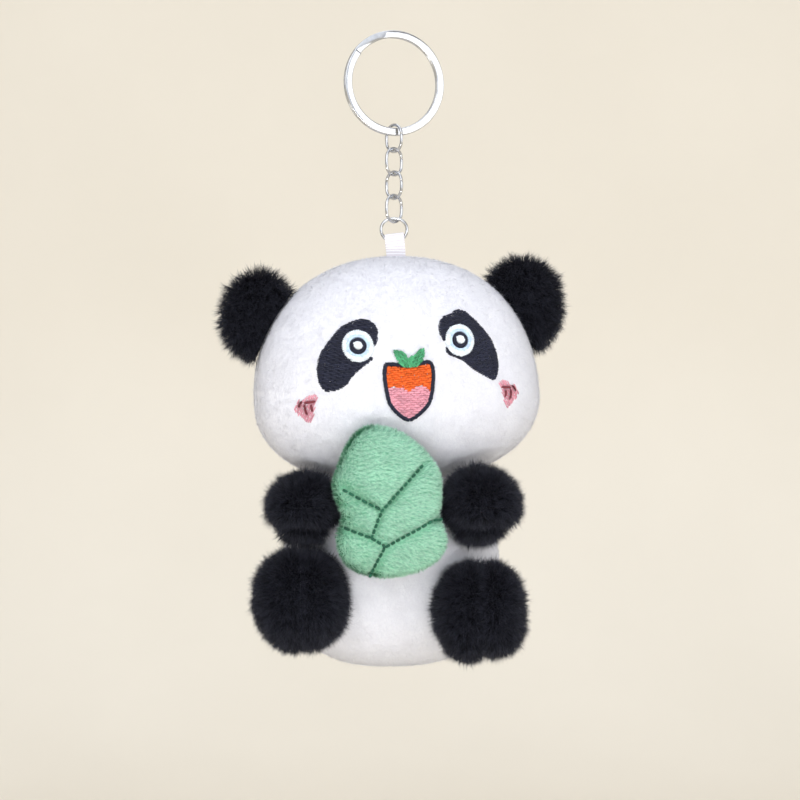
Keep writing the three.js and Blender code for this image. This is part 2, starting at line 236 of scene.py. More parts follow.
def seam_place(nodes, turn, axis):
    """Where the gap between the first two panels of a stuffed shape lies along an axis."""
    first, second = ((node_points(n) @ turn)[:, axis] for n in nodes[:2])
    return (first.max() + second.min()) / 2


class Stuffed:
    """A ball's surface as seen from a core point, kept clear of its neighbours and shaped by a relief.

    It lies sink deep inside the ball, to leave room for pile or fur. clear lists (other ball, gap), and
    relief gives how far the surface is pulled in at each point.
    """

    def __init__(self, ball, sink, core=(0, 0, 0), clear=(), relief=None):
        self.ball, self.sink, self.clear, self.relief = ball, sink, clear, relief
        self.core = ball.world(np.array(core) * MM)
        self.longest = 1.2 * max(ball.low.max(), ball.high.max()) + np.linalg.norm(core) * MM

    def inside(self, points, grow):
        within = self.ball.level(points, grow - self.sink) < 1
        for other, gap in self.clear:
            within &= other.level(points, gap - grow) > 1
        return within

    def points(self, directions, grow=0.0):
        """The surface along directions given in the ball's own axes."""
        rays = directions @ self.ball.turn.T
        near = np.zeros(len(rays))
        far = np.full(len(rays), self.longest)
        for _ in range(22):
            middle = (near + far) / 2
            within = self.inside(self.core + rays * middle[:, None], grow)
            near = np.where(within, middle, near)
            far = np.where(within, far, middle)
        if self.relief is not None:
            near = near - self.relief(self.ball.local(self.core + rays * near[:, None]))
        return self.core + rays * near[:, None]


def panel(name, shape, count, axis, side, look):
    """One cover panel: a closed shell over half of a stuffed shape, with its edge turned in at the seam."""
    directions, quads = half_sphere(count, axis, side)
    outer = shape.points(directions)
    normals = point_normals(outer, quads)
    inner = shape.points(directions, -COVER)
    apart = np.zeros(3)
    apart[axis] = side * SEAM_GAP / 2
    apart = shape.ball.turn @ apart
    piece = add_piece(name, np.vstack([outer, inner]) + apart, shell_faces(quads, len(outer)), look)
    return piece, outer + apart, quads, normals


# ---- Hairs ----

class Coat:
    """Roots and normals scattered evenly over some surface."""

    def __init__(self, surfaces, per_mm2, seed, keep=None):
        self.rng = np.random.default_rng(seed)
        roots, normals = [], []
        for points, quads, facing in surfaces:
            tris = np.vstack([quads[:, [0, 1, 2]], quads[:, [0, 2, 3]]])
            a, b, c = (points[tris[:, k]] for k in range(3))
            area = np.linalg.norm(np.cross(b - a, c - a), axis=1) / 2
            count = int(area.sum() / MM ** 2 * per_mm2)
            pick = self.rng.choice(len(tris), count, p=area / area.sum())
            share = np.sort(self.rng.random((count, 2)), axis=1)
            parts = np.column_stack([share[:, 0], share[:, 1] - share[:, 0], 1 - share[:, 1]])
            roots.append(np.einsum("nk,nkj->nj", parts, points[tris[pick]]))
            normals.append(np.einsum("nk,nkj->nj", parts, facing[tris[pick]]))
        self.roots, self.normals = np.vstack(roots), unit(np.vstack(normals))
        if keep is not None:
            kept = keep(self.roots)
            self.roots, self.normals = self.roots[kept], self.normals[kept]

    def flat(self, vectors):
        """The part of each vector that lies along the surface."""
        return vectors - self.normals * dots(vectors, self.normals)

    def random_lean(self, amount):
        return self.flat(self.rng.normal(size=self.roots.shape)) * amount

    def tufted(self, lean, hairs_each, length, pull):
        """Draws the hairs' tips together in tufts."""
        middles = self.roots[self.rng.choice(len(self.roots), len(self.roots) // hairs_each, replace=False)]
        tree = KDTree(len(middles))
        for number, middle in enumerate(middles):
            tree.insert(middle, number)
        tree.balance()
        self.tuft = np.array([tree.find(root)[1] for root in self.roots])
        return lean + self.flat(middles[self.tuft] - self.roots) / length * pull

    def hairs(self, name, length, width, lean, segments, look, tilt=None):
        """Tapered blades rooted on the surface.

        With a tilt, they turn their broad side out and shade like the surface, tilted back by that much.
        """
        count = len(self.roots)
        lean_length = np.linalg.norm(lean, axis=1, keepdims=True)
        scale = (length / np.sqrt(1 + lean_length[:, 0] ** 2))[:, None]
        broad = self.flat(self.rng.normal(size=(count, 3)))
        if tilt is not None:
            broad = unit(np.cross(lean, self.normals)) + 0.15 * broad
        broad = unit(broad)
        rows, along = [], []
        for k in range(segments):
            t = k / segments
            middle = self.roots + scale * (self.normals * (t - 0.25 * t * t * lean_length) + lean * t * t)
            half = broad * (width / 2 * (1 - 0.55 * t * t))
            rows += [middle - half, middle + half]
            along += [np.full(count, t)] * 2
        rows.append(self.roots + scale * (self.normals * (1 - 0.25 * lean_length) + lean))
        along.append(np.ones(count))
        each = len(rows)
        points = np.stack(rows, 1).reshape(-1, 3)
        pattern = []
        for k in range(0, each - 3, 2):
            pattern += [(k, k + 1, k + 3), (k, k + 3, k + 2)]
        pattern.append((each - 3, each - 2, each - 1))
        faces = (np.arange(count)[:, None, None] * each + np.array(pattern)).reshape(-1, 3)
        values = {
            "along": np.stack(along, 1).ravel(),
            "tone": np.repeat(self.rng.random(count), each),
        }
        normals = None if tilt is None else np.repeat(unit(self.normals - tilt), each, axis=0)
        return add_piece(name, points, faces, look, values, normals)


# ---- Stitches ----

def front_points(shape, flat, lift):
    """Points on a shape's front at some X and Z of its own, raised by lift, and their normals."""
    def surface(at):
        depth = np.full(len(at), -shape.ball.low[1] * 0.8)
        for _ in range(7):
            aim = np.column_stack([at[:, 0], depth, at[:, 1]])
            depth = shape.ball.local(shape.points(unit(aim)))[:, 1]
        return np.column_stack([at[:, 0], depth, at[:, 1]])
    step = 0.15 * MM
    middle = surface(flat)
    right = surface(flat + [step, 0])
    above = surface(flat + [0, step])
    normals = unit(np.cross(right - middle, above - middle))
    return shape.ball.world(middle + normals * lift[:, None]), normals @ shape.ball.turn.T


def stitches(name, shape, starts, ends, width, height, look, lift):
    """Each stitch is a closed thread that comes up out of the cloth, runs along it and goes back in."""
    segments = sides = 6
    starts, ends = np.asarray(starts) * MM, np.asarray(ends) * MM
    count = len(starts)
    t = np.linspace(0, 1, segments + 1)
    flat = starts[:, None] + (ends - starts)[:, None] * t[None, :, None]
    arch = 1 - np.abs(2 * t - 1) ** 4
    lifts = np.tile((lift - 0.25 + 0.3 * arch) * MM, count)
    middle, normals = front_points(shape, flat.reshape(-1, 2), lifts)
    middle = middle.reshape(count, -1, 3)
    normals = normals.reshape(count, -1, 3)
    forward = unit(np.gradient(middle, axis=1))
    aside = unit(np.cross(normals, forward))
    full = np.where((t == 0) | (t == 1), 0.45, 1)
    rings = []
    for k in range(sides):
        angle = 2 * math.pi * k / sides
        out = aside * math.cos(angle) * width / 2 + normals * math.sin(angle) * height / 2
        rings.append(middle + out * MM * full[None, :, None])
    points = np.stack(rings, 2).reshape(-1, 3)
    each = (segments + 1) * sides
    pattern = []
    for row in range(segments):
        for k in range(sides):
            following = (k + 1) % sides
            low, high = row * sides, (row + 1) * sides
            pattern.append((low + k, high + k, high + following, low + following))
    last = segments * sides
    pattern += [(0, 1, 2, 3), (0, 3, 4, 5)]
    pattern += [(last + 3, last + 2, last + 1, last), (last + 5, last + 4, last + 3, last)]
    faces = (np.arange(count)[:, None, None] * each + np.array(pattern)).reshape(-1, 4)
    length = np.linalg.norm(ends - starts, axis=1) / MM
    values = {
        "along": np.repeat(t[None] * length[:, None], sides, axis=1).ravel(),
        "around": np.tile(np.arange(sides) / sides, count * (segments + 1)),
        "tone": np.repeat(np.random.default_rng(len(starts)).random(count), each),
    }
    return add_piece(name, points, faces, look, values)


def fill_rows(inside, reach, slope, pitch, longest, seed, ragged=0.12, wave=0.0):
    """Parallel stitches over the region where inside is true: starts and ends in millimetres.

    reach is (middle X, middle Z, radius) of a circle that holds the region. A row is cut into stitches
    about every longest, runs past the region's edge by up to ragged and sways by wave.
    """
    rng = np.random.default_rng(seed)
    forward = np.array([math.cos(slope), math.sin(slope)])
    across = np.array([-forward[1], forward[0]])
    middle, radius = np.array(reach[:2]), reach[2]
    along = np.arange(-radius, radius, 0.08)
    starts, ends = [], []
    for number, offset in enumerate(np.arange(-radius, radius, pitch)):
        line = middle + across * offset + forward * along[:, None]
        hit = np.concatenate([[False], inside(line), [False]]).astype(int)
        change = np.diff(hit)
        for first, last in zip(np.flatnonzero(change > 0), np.flatnonzero(change < 0)):
            begin = along[min(first, len(along) - 1)] - rng.uniform(0, ragged)
            finish = along[last - 1] + rng.uniform(0, ragged)
            if finish - begin < 0.5:
                continue
            cuts = [begin]
            stagger = number % 2 / 2 + rng.uniform(-0.1, 0.1)
            following = (math.ceil(begin / longest + stagger) - stagger) * longest
            while following < finish - 0.7:
                if following > cuts[-1] + 0.7:
                    cuts.append(following)
                following += longest
            cuts.append(finish)
            for a, b in zip(cuts[:-1], cuts[1:]):
                rise = [offset + wave * math.cos(math.pi * end / longest) for end in (a, b)]
                starts.append(middle + across * rise[0] + forward * (a - 0.05))
                ends.append(middle + across * rise[1] + forward * (b + 0.05))
    return np.array(starts), np.array(ends)


def inside_outline(outline):
    """A test for points within a closed outline."""
    a, b = outline, np.roll(outline, -1, axis=0)

    def test(points):
        x, z = points[:, :1], points[:, 1:]
        crosses = (a[:, 1] > z) != (b[:, 1] > z)
        with np.errstate(divide="ignore", invalid="ignore"):
            at = a[:, 0] + (z - a[:, 1]) / (b[:, 1] - a[:, 1]) * (b[:, 0] - a[:, 0])
        return (crosses & (x < at)).sum(1) % 2 == 1
    return test


def closed_curve(points, steps=8):
    """A smooth closed outline through points."""
    points = np.array(points, float)
    before, after, later = (np.roll(points, shift, axis=0) for shift in (1, -1, -2))
    t = np.linspace(0, 1, steps, endpoint=False)[:, None, None]
    path = 0.5 * (2 * points + (after - before) * t + (2 * before - 5 * points + 4 * after - later) * t ** 2
                  + (3 * points - before - 3 * after + later) * t ** 3)
    return path.swapaxes(0, 1).reshape(-1, 2)


def inset(outline, amount):
    """A clockwise outline moved inwards."""
    ahead = unit(np.roll(outline, -1, axis=0) - np.roll(outline, 1, axis=0))
    return outline + np.column_stack([ahead[:, 1], -ahead[:, 0]]) * amount


def path_lengths(path):
    """How far along a path each of its points lies."""
    return np.concatenate([[0], np.cumsum(np.linalg.norm(np.diff(path, axis=0), axis=1))])


def path_at(path, lengths, places):
    return np.column_stack([np.interp(places, lengths, path[:, k]) for k in range(2)])


def even_steps(path, pitch):
    """Points and unit directions a pitch apart along a path."""
    lengths = path_lengths(path)
    places = np.arange(pitch / 2, lengths[-1], pitch)
    ahead, behind = (path_at(path, lengths, places + shift) for shift in (0.1, -0.1))
    return path_at(path, lengths, places), unit(ahead - behind)


# ---- Materials ----

class Tree:
    """The node tree of a material or a world, with short ways to add nodes."""

    def __init__(self, owner):
        owner.use_nodes = True
        self.owner = owner
        self.nodes, self.links = owner.node_tree.nodes, owner.node_tree.links

    def feed(self, node, values):
        """Gives inputs of a node a socket to follow or a constant."""
        for label, value in values.items():
            if isinstance(value, bpy.types.NodeSocket):
                self.links.new(value, node.inputs[label])
            else:
                node.inputs[label].default_value = value

    def surface(self, values):
        """Feeds the material's shader and returns the material."""
        self.feed(self.nodes["Principled BSDF"], values)
        return self.owner

    def add_node(self, kind, values, output):
        node = self.nodes.new("ShaderNode" + kind)
        self.feed(node, values)
        return node.outputs[output]

    def noise(self, scale, detail=2.0):
        at = self.add_node("TexCoord", {}, "Object")
        return self.add_node("TexNoise", {"Scale": scale, "Detail": detail, "Vector": at}, "Fac")

    def attribute(self, name):
        node = self.nodes.new("ShaderNodeAttribute")
        node.attribute_name = name
        return node.outputs["Fac"]

    def ramp(self, value, *stops):
        """A colour ramp: stops are (place, colour)."""
        node = self.nodes.new("ShaderNodeValToRGB")
        elements = node.color_ramp.elements
        while len(elements) < len(stops):
            elements.new(0.5)
        for element, (place, colour) in zip(elements, stops):
            element.position = place
            element.color = (*colour, 1)
        self.links.new(value, node.inputs["Fac"])
        return node.outputs["Color"]

    def maths(self, operation, *values):
        node = self.nodes.new("ShaderNodeMath")
        node.operation = operation
        self.feed(node, dict(enumerate(values)))
        return node.outputs["Value"]

    def add(self, a, b):
        return self.maths("ADD", a, b)

    def times(self, a, b):
        return self.maths("MULTIPLY", a, b)

    def shaded(self, colour, light):
        """A colour darkened by a light from 0 to 1."""
        grey = self.add_node("CombineColor", {"Red": light, "Green": light, "Blue": light}, "Color")
        node = self.nodes.new("ShaderNodeMix")
        node.data_type = "RGBA"
        node.blend_type = "MULTIPLY"
        sockets = {s.identifier: s for s in [*node.inputs, *node.outputs]}
        sockets["Factor_Float"].default_value = 1
        self.links.new(colour, sockets["A_Color"])
        self.links.new(grey, sockets["B_Color"])
        return sockets["Result_Color"]

    def bump(self, height, strength, distance):
        return self.add_node("Bump", {"Strength": strength, "Distance": distance, "Height": height}, "Normal")


def new_tree(name):
    return Tree(bpy.data.materials.new(name))


def plain_material(name, colour, roughness=0.8, metallic=0.0):
    """The bare material that a mesh holds under its full one."""
    values = {"Base Color": (*colour, 1), "Roughness": roughness, "Metallic": metallic}
    return new_tree("plain_" + name).surface(values)


def cloth_material(name, dark, light, sheen=0.3, lump=180, grain=2600):
    """The knitted backing that a pile stands on, with soft mottling and a fine grain."""
    tree = new_tree(name)
    mottle, fine = tree.noise(lump, 3), tree.noise(grain)
    tint = tree.add(tree.times(mottle, 0.7), tree.times(fine, 0.3))
    return tree.surface({
        "Base Color": tree.ramp(tint, (0.32, dark), (0.68, light)),
        "Roughness": 0.95,
        "Specular IOR Level": 0.15,
        "Sheen Weight": sheen,
        "Sheen Roughness": 0.5,
        "Normal": tree.bump(fine, 0.5, 0.3 * MM),
    })


def hair_material(name, root, middle, tip, shine, roughness, spread):
    """Hairs painted darker at the root, as painted shade down in the pile, and lighter at the tip, as painted
    sheen; they also vary from hair to hair and in soft patches.
    """
    tree = new_tree(name)
    # Root to tip: painted shade at the roots, painted sheen at the tips.
    colour = tree.ramp(tree.attribute("along"), (0.0, root), (0.45, middle), (1.0, tip))
    uneven = tree.add(tree.attribute("tone"), tree.noise(150))
    light = tree.add(1 - spread, tree.times(uneven, spread))
    return tree.surface({
        "Base Color": tree.shaded(colour, light),
        "Roughness": roughness,
        "Specular IOR Level": shine,
    })


def thread_material(name, dark, light):
    """Twisted embroidery thread. Each stitch catches the light a little differently."""
    tree = new_tree(name)
    twist = tree.add(tree.times(tree.attribute("along"), 2.2), tree.times(tree.attribute("around"), 2))
    ply = tree.add(tree.times(tree.maths("SINE", tree.times(twist, 2 * math.pi)), 0.5), 0.5)
    tone = tree.add(tree.times(ply, 0.35), tree.times(tree.attribute("tone"), 0.45))
    tone = tree.add(tone, tree.times(tree.noise(900), 0.3))
    return tree.surface({
        "Base Color": tree.ramp(tone, (0.1, dark), (0.95, light)),
        "Roughness": tree.add(0.38, tree.times(ply, 0.2)),
        "Specular IOR Level": 0.3,
        "Sheen Weight": 0.05,
        "Normal": tree.bump(ply, 0.6, 0.08 * MM),
    })


def steel_material():
    """Bright nickel plate with faint drawing marks and a little wear."""
    tree = new_tree("nickel_plate")
    wear = tree.noise(500, 4)
    return tree.surface({
        "Base Color": tree.ramp(wear, (0.3, (0.5, 0.505, 0.52)), (0.7, (0.63, 0.635, 0.65))),
        "Metallic": 1,
        "Roughness": tree.add(0.04, tree.times(wear, 0.08)),
        "Normal": tree.bump(tree.noise(3000), 0.05, 0.05 * MM),
    })


def ribbon_material():
    """Grosgrain ribbon: bright weft ribs with fine warp threads across them."""
    tree = new_tree("grosgrain")
    fine = tree.noise(3200)
    tone = tree.add(tree.times(tree.attribute("rib"), 0.7), tree.times(fine, 0.3))
    return tree.surface({
        "Base Color": tree.ramp(tone, (0.1, (0.66, 0.6, 0.64)), (0.75, (0.9, 0.89, 0.93))),
        "Roughness": 0.6,
        "Sheen Weight": 0.3,
        "Normal": tree.bump(fine, 0.4, 0.06 * MM),
    })


WHITE = (0.86, 0.86, 0.9)
BLACK = (0.01, 0.01, 0.014)
GREEN = (0.3, 0.62, 0.42)
NAVY = (0.0053, 0.0076, 0.0280)
PALE_BLUE = (0.56, 0.7, 0.93)
THREAD_WHITE = (0.74, 0.79, 0.88)
ORANGE = (0.8, 0.12, 0.006)
PINK = (0.72, 0.31, 0.38)
DARK_RED = (0.16, 0.02, 0.03)
LEAF = (0.07, 0.38, 0.17)
STITCH_GREEN = (0.006, 0.1, 0.05)

PLAIN = {
    "white": plain_material("white", WHITE),
    "black": plain_material("black", BLACK),
    "green": plain_material("green", GREEN),
    "filling": plain_material("filling", (0.85, 0.85, 0.83)),
    "steel": plain_material("steel", (0.72, 0.73, 0.75), 0.15, 1.0),
    "ribbon": plain_material("ribbon", (0.85, 0.84, 0.88)),
}
# Each look is (full material, plain one).
LOOKS = {
    "white": (cloth_material("white_backing", (0.8, 0.8, 0.84), (0.9, 0.9, 0.93)), PLAIN["white"]),
    "black": (cloth_material("black_backing", (0.003, 0.003, 0.005), (0.008, 0.008, 0.011), 0.05),
              PLAIN["black"]),
    "green": (cloth_material("green_backing", (0.16, 0.46, 0.28), (0.24, 0.58, 0.38)), PLAIN["green"]),
    "filling": (cloth_material("polyester_fibre", (0.72, 0.72, 0.7), (0.92, 0.92, 0.9), 0.5, 400, 5000),
                PLAIN["filling"]),
    "steel": (steel_material(), PLAIN["steel"]),
    "ribbon": (ribbon_material(), PLAIN["ribbon"]),
    # The hairs' darker root colours are painted shade deep in the pile, and their lighter tip colours, bluish
    # on the black fur, are painted sheen.
    "white_hair": (hair_material("white_pile", (0.8, 0.8, 0.84), (0.82, 0.82, 0.865), (0.84, 0.84, 0.885),
                                 0.1, 0.9, 0.12), PLAIN["white"]),
    "black_hair": (hair_material("black_fur", (0.004, 0.004, 0.006), (0.012, 0.0125, 0.019),
                                 (0.042, 0.044, 0.062), 0.3, 0.5, 0.6), PLAIN["black"]),
    "green_hair": (hair_material("green_pile", (0.13, 0.43, 0.25), (0.28, 0.61, 0.42), (0.52, 0.8, 0.64),
                                 0.2, 0.75, 0.45), PLAIN["green"]),
}
# Each thread is (colour, how dark its shaded side is, slot).
THREADS = {
    "navy": (NAVY, 0.45, "navy_thread"),
    "pale_blue": (PALE_BLUE, 0.8, "blue_thread"),
    "thread_white": (THREAD_WHITE, 0.85, "white_thread"),
    "orange": (ORANGE, 0.6, "orange_thread"),
    "pink": (PINK, 0.7, "pink_thread"),
    "dark_red": (DARK_RED, 0.5, None),
    "leaf": (LEAF, 0.5, "green_thread"),
    "stitch_green": (STITCH_GREEN, 0.5, "green_thread"),
}
for label, (colour, depth, _) in THREADS.items():
    dark = tuple(c * depth for c in colour)
    light = tuple(min(1.0, c * 1.25 + 0.01) for c in colour)
    LOOKS[label] = (thread_material("thread_" + label, dark, light), plain_material(label, colour, 0.5))


# ---- The stuffed shapes, from the CAD nodes ----

SEAM_GAP = 0.1 * MM
COVER = 1.0 * MM
WHITE_SINK = 0.6 * MM
FUR_SINK = 2.2 * MM
ARM_SINK = 1.6 * MM
EAR_SINK = 0.5 * MM
PILE_SINK = 1.1 * MM
WHITE_PILE = 1.5 * MM
GREEN_PILE = 1.9 * MM
FUR = 4.0 * MM
FUR_PER_MM2 = 20
NECK = (17.0 * MM, 12.5 * MM)
NECK_FLARE = (21.5 * MM, 15.5 * MM)

# The bamboo shoot's outline as X and Z from its centre, clockwise from its tip, in millimetres.
SHOOT_OUTLINE = [
    (-5.2, 21.8), (1.3, 20.6), (6.2, 17.6), (10.2, 13.9), (14.0, 8.5), (14.6, 1.1), (14.0, -3.8),
    (15.7, -10.6), (14.6, -14.0), (11.1, -17.3), (4.5, -19.9), (-4.3, -20.4), (-10.6, -18.3),
    (-13.6, -14.7), (-14.6, -9.5), (-13.2, -3.8), (-14.2, -1.1), (-15.3, 2.5), (-15.7, 6.1),
    (-14.2, 10.6), (-12.1, 15.8), (-9.4, 19.6),
]


def shoot_outline(angles):
    x, z = closed_curve(SHOOT_OUTLINE, 16).T
    return np.interp(angles, *sorted_pairs(np.arctan2(z, x), np.hypot(x, z)), period=2 * math.pi) * MM


def sorted_pairs(keys, values):
    order = np.argsort(keys)
    return keys[order], values[order]


head_ball = Ball(["face_panel", "head_back_panel"], 2.15, HEAD_TURN, seam=1, dome=0.6246)
body_ball = Ball(["belly_panel", "body_back_panel"], 2.5, seam=1, dome=0.4405)
shoot_ball = Ball(["shoot_front_panel", "shoot_back_panel"], 2.3, seam=1, outline=shoot_outline)
shoot_ball.centre[2] = (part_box("shoot_front_panel")[0].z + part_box("shoot_front_panel")[1].z) / 2
limb_balls = {}
for side in ("left", "right"):
    limb_balls["arm_" + side] = Ball([f"arm_{side}_lower_panel", f"arm_{side}_upper_panel"], 2.2, seam=2)
    limb_balls["leg_" + side] = Ball([f"leg_{side}_left_panel", f"leg_{side}_right_panel"], 2.15, seam=0)
    limb_balls["ear_" + side] = Ball([f"ear_{side}_front_panel", f"ear_{side}_back_panel"], 2.0,
                                     HEAD_TURN, seam=1)


def head_relief(p):
    """The seam round the head is drawn in, and the back and sides are a little uneven."""
    behind = smooth((p[:, 1] / MM + 14) / 12)
    seam = 0.7 * bump(p[:, 1], 1.1 * MM)
    return (seam + behind * 0.25 * waves(p, 16 * MM, 3)) * MM


def body_relief(p):
    seam = 0.7 * bump(p[:, 1], 1.1 * MM)
    return (seam + 0.35 * waves(p, 15 * MM, 5)) * MM


# Sewn lines across the shoot: (start, end, millimetres between stitches), in X and Z from its centre.
SHOOT_LINES = [
    ((8.9, 10.4), (-2.5, -2.1), 1.5),
    ((-12.3, 4.1), (-2.5, -1.9), 1.9),
    ((-2.5, -2.1), (-5.0, -9.5), 1.7),
    ((-11.8, -6.8), (-5.0, -9.2), 1.7),
    ((-5.0, -9.2), (-0.9, -11.7), 1.4),
    ((14.0, -3.6), (-0.9, -11.7), 1.6),
    ((-0.9, -11.7), (-5.6, -19.6), 1.5),
]


def line_distance(points, start, end):
    start, end = np.array(start), np.array(end)
    run = end - start
    t = np.clip((points - start) @ run / (run @ run), 0, 1)
    return np.linalg.norm(points - start - t[:, None] * run, axis=1)


def sewn_distance(p):
    """Millimetres from the shoot's nearest sewn line, for points in its own axes."""
    flat = p[:, [0, 2]] / MM
    return np.min([line_distance(flat, a, b) for a, b, _ in SHOOT_LINES], axis=0)


def shoot_relief(p):
    front = smooth(-p[:, 1] / MM / 2)
    sewn = 1.25 * bump(sewn_distance(p), 1.5) * front
    seam = 0.5 * bump(p[:, 1], 0.9 * MM)
    return (sewn + seam + 0.2 * waves(p, 9 * MM, 8)) * MM


def limb_relief(axis, place, depth, width, seed):
    """A limb's seam pulled in at a place along an axis, with soft lumps."""
    def relief(p):
        crease = depth * bump(p[:, axis] / MM - place, width)
        return (crease + 0.4 * waves(p, 9 * MM, seed)) * MM
    return relief


head = Stuffed(head_ball, WHITE_SINK, relief=head_relief)
body = Stuffed(body_ball, WHITE_SINK, relief=body_relief)
shoot = Stuffed(shoot_ball, PILE_SINK, relief=shoot_relief)


# ---- White plush: head and body ----

def place(piece, body_name, slot, replaces=(), shared=None, fill=None):
    """Hangs a piece on a body, unless it is shared, and hides the CAD nodes it stands for. Its slot and how
    full it is are not used.

    shared marks a piece across two bodies, which only gets its place baked in; its other body, start and end
    are not used.
    """
    if shared is None:
        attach(piece, body_name)
    else:
        other, start, end = shared
        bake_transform(piece)
        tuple(start)
        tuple(end)
    for node in replaces:
        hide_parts(node)


def add_cover(shape, count, axis, body_name, names, look, slot, fill, shared=None):
    """Both panels of a cover, each standing for the CAD panel of the same name."""
    surfaces = []
    for name, side in zip(names, (-1, 1)):
        piece, *surface = panel(name + "_cover", shape, count, axis, side, LOOKS[look])
        place(piece, body_name, slot, [name], shared, fill)
        surfaces.append(surface)
    return surfaces


def add_filling(name, shape, gap, body_name, seed, shared=None):
    """A lumpy ball of fibre, a gap inside the cover."""
    directions, quads = cube_sphere(26)
    points = shape.points(directions, -COVER - gap)
    points -= unit(points - shape.core) * (0.35 * MM * (1 + waves(points, 4 * MM, seed)))[:, None]
    piece = add_piece(name + "_fibre", points, quads, LOOKS["filling"])
    place(piece, body_name, "filling", [name + "_stuffing"], shared, 0.8)


def add_white_pile(name, surface, body_name, seed, keep=None):
    coat = Coat([surface], 11, seed, keep)
    count = len(coat.roots)
    length = WHITE_PILE * coat.rng.uniform(0.75, 1.15, count)
    down = coat.flat(np.tile([0.2, 0, -0.6], (count, 1)))
    # Most hairs lie nearly flat, and about one in twenty stands up.
    lift = np.where(coat.rng.random(count) < 0.05, 0.6, 1.7)[:, None]
    lean = unit(coat.random_lean(0.6) + down) * lift
    tilt = (coat.tufted(lean, 16, WHITE_PILE, 1) - lean) * 0.35
    piece = coat.hairs(name, length, 0.11 * MM, lean, 1, LOOKS["white_hair"], tilt)
    place(piece, body_name, "white_plush")


# Where the face is embroidered, in millimetres along X and Z from the head's centre.
EYE_AT = (14.2, 15.3)
EYE_HIGH, EYE_WIDE, IRIS_R, PUPIL_R, GLINT_R = 4.65, 4.4, 3.3, 2.25, 1.2
PATCH_OUTLINES = {
    "left": [
        (-13.3, 22.7), (-10.6, 22.3), (-8.6, 20.0), (-8.8, 17.4), (-10.2, 14.4), (-11.2, 11.2),
        (-14.0, 9.2), (-16.4, 7.1), (-18.8, 4.4), (-21.5, 3.5), (-23.9, 3.7), (-25.3, 5.8), (-25.6, 9.3),
        (-24.8, 12.7), (-23.1, 15.6), (-20.4, 18.8), (-17.8, 21.1),
    ],
    "right": [
        (14.6, 23.9), (12.4, 22.7), (9.6, 21.6), (8.5, 18.9), (8.9, 16.8), (9.8, 14.8), (10.3, 11.9),
        (12.6, 10.7), (15.0, 9.3), (17.1, 7.3), (20.1, 5.4), (23.3, 3.9), (24.7, 5.4), (25.2, 8.2),
        (24.9, 11.7), (23.8, 15.2), (21.2, 18.9), (18.5, 21.9), (16.8, 23.3),
    ],
}
MOUTH_OUTLINE = [
    (-7.4, 10.2), (-5.6, 10.3), (-0.7, 9.6), (3.5, 10.3), (5.0, 10.2), (5.8, 9.4), (6.2, 7.4),
    (6.1, 5.0), (5.3, 0.8), (4.1, -2.1), (1.5, -4.6), (-1.1, -6.0), (-2.9, -5.8), (-5.0, -4.2),
    (-7.1, -1.6), (-7.9, 1.6), (-8.3, 5.8), (-8.1, 8.6),
]
MOUTH_BORDER = 1.05
TONGUE_EDGE = [
    (-8.2, 2.8), (-7.3, 3.2), (-5.6, 3.5), (-3.8, 3.4), (-2.4, 2.9), (-1.3, 1.9), (-0.2, 2.9),
    (1.4, 3.6), (3.2, 3.1), (4.8, 1.8), (5.6, 0.6),
]
SPRIG_OUTLINE = [
    (-4.8, 13.5), (-2.9, 13.2), (-1.8, 12.5), (-1.2, 11.5), (-0.6, 11.1), (0.2, 11.7), (1.5, 12.5),
    (3.5, 13.7), (3.5, 11.5), (2.8, 10.1), (1.8, 8.9), (-0.7, 8.5), (-3.2, 9.0), (-3.9, 10.5),
    (-4.6, 12.0),
]
SPRIG_X = -0.6
CHEEK_AT = {"left": (-29.1, -1.0), "right": (28.2, -0.2)}
CHEEK_OUTLINE = [
    (-2.9, 0.6), (-2.0, 2.3), (-0.8, 2.2), (1.4, 3.8), (3.0, 3.1), (2.5, 1.0), (2.1, -1.2), (1.1, -3.7),
    (0.0, -3.1), (-1.3, -2.0), (-2.3, -0.9),
]
CHEEK_LINES = [
    ((-0.3, 1.6), (2.7, 1.9)),
    ((-0.2, 1.2), (0.4, -1.7)),
    ((1.5, 1.1), (1.8, -0.9)),
    ((-1.7, 0.5), (-0.7, 2.2)),
]


def patch_outline(side):
    return closed_curve(PATCH_OUTLINES[side])


def mouth_path(amount):
    """The mouth's edge moved inwards, clockwise from its top left corner."""
    return inset(closed_curve(MOUTH_OUTLINE), amount)


def tongue_line(x):
    """The height of the tongue's two-lobed upper edge."""
    return np.interp(x, *np.array(TONGUE_EDGE).T)


def cheek_outline(side):
    """A small blush patch, the same on both cheeks but turned over."""
    sign = 1 if side == "left" else -1
    return closed_curve(CHEEK_OUTLINE) * [sign, 1] + CHEEK_AT[side]


def stitched_region(points):
    """True for points in the head's X and Z, in millimetres, that embroidery covers."""
    covered = inside_outline(mouth_path(0))(points)
    covered |= inside_outline(closed_curve(SPRIG_OUTLINE))(points)
    for side in ("left", "right"):
        covered |= inside_outline(patch_outline(side))(points)
        covered |= inside_outline(cheek_outline(side))(points)
        covered |= eye_distance(points, side) < 1
    return covered


def eye_distance(points, side):
    """1 at the white of the eye's rim."""
    centre = np.array([EYE_AT[0] * (-1 if side == "left" else 1), EYE_AT[1]])
    return np.linalg.norm((points - centre) / [EYE_WIDE, EYE_HIGH], axis=1)


def bare_of_stitches(roots):
    p = head_ball.local(roots) / MM
    return ~((p[:, 1] < -4) & stitched_region(p[:, [0, 2]]))


def add_head():
    names = ["face_panel", "head_back_panel"]
    front, back = add_cover(head, 84, 1, "head", names, "white", "white_plush", 0.85)
    add_filling("head", head, 0.5 * MM, "head", 11)
    add_white_pile("face_pile", front, "head", 21, keep=bare_of_stitches)
    add_white_pile("head_back_pile", back, "head", 22)


